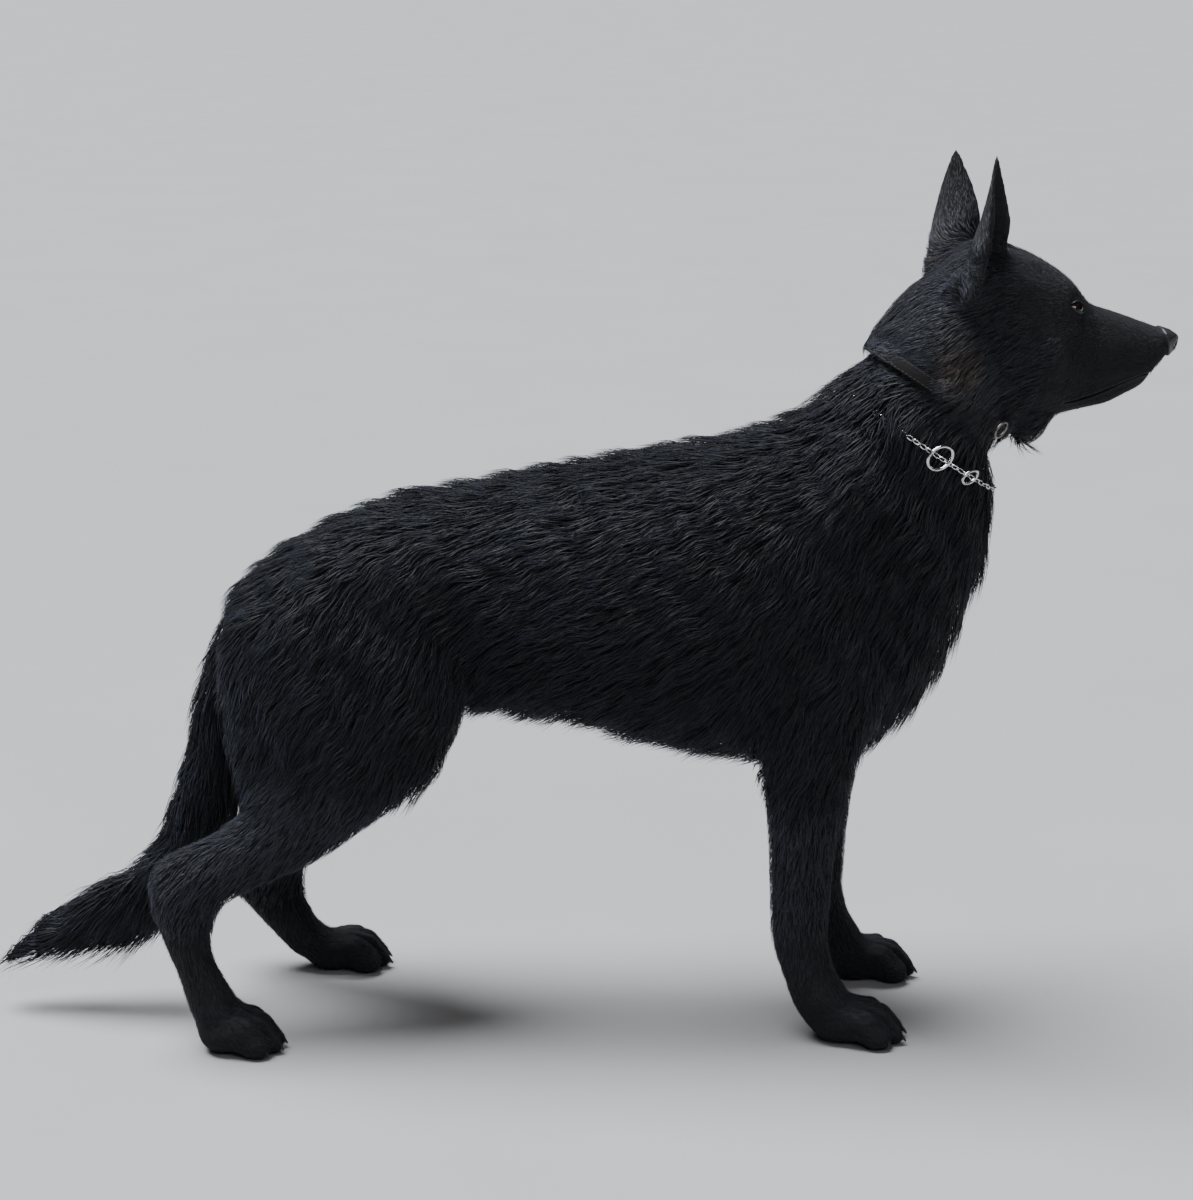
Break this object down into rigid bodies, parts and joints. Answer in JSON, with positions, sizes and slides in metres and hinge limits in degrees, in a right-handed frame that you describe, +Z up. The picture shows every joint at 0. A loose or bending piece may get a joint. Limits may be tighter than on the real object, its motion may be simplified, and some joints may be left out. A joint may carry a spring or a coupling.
{
  "type": "dog model",
  "caption": "Still, life-size model of a black shepherd dog in a show stance with pricked ears, low tail, a flat collar and a chain collar.",
  "frame": {"origin": "on the floor, under the middle of the whole dog's bounding box", "axes": "+X the way the dog's body faces, +Y to the dog's left, +Z up; the head is turned ten degrees to the dog's left"},
  "size_m": [1.1748, 0.2994, 0.8702],
  "materials": {
    "coat": "medium-length black coat, satin",
    "nose": "moist, finely pebbled",
    "eye": "wet, dark brown, opaque",
    "claw": "horn, dull gloss",
    "strap": "worn dark leather",
    "steel": "bright steel wire"
  },
  "bodies": {
    "root": {"head": "coat", "lower_jaw": "coat", "ear_right": "coat", "ear_left": "coat", "neck": "coat", "chest": "coat", "loin": "coat", "rump": "coat", "shoulder_right": "coat", "forearm_right": "coat", "pastern_right": "coat", "forepaw_right": "coat", "thigh_right": "coat", "lower_leg_right": "coat", "rear_pastern_right": "coat", "hindpaw_right": "coat", "shoulder_left": "coat", "forearm_left": "coat", "pastern_left": "coat", "forepaw_left": "coat", "thigh_left": "coat", "lower_leg_left": "coat", "rear_pastern_left": "coat", "hindpaw_left": "coat", "tail_root": "coat", "tail_upper": "coat", "tail_lower": "coat", "tail_tip": "coat", "nose": "nose", "eye_right": "eye", "eye_left": "eye", "claw_forepaw_right_inner": "claw", "claw_forepaw_right_middle_inner": "claw", "claw_forepaw_right_middle_outer": "claw", "claw_forepaw_right_outer": "claw", "claw_forepaw_left_inner": "claw", "claw_forepaw_left_middle_inner": "claw", "claw_forepaw_left_middle_outer": "claw", "claw_forepaw_left_outer": "claw", "claw_hindpaw_right_inner": "claw", "claw_hindpaw_right_middle_inner": "claw", "claw_hindpaw_right_middle_outer": "claw", "claw_hindpaw_right_outer": "claw", "claw_hindpaw_left_inner": "claw", "claw_hindpaw_left_middle_inner": "claw", "claw_hindpaw_left_middle_outer": "claw", "claw_hindpaw_left_outer": "claw", "collar_strap": "strap", "collar_ring": "steel", "collar_chain": "steel", "chain_ring": "steel", "chain_end_ring": "steel"}
  },
  "joints": []
}
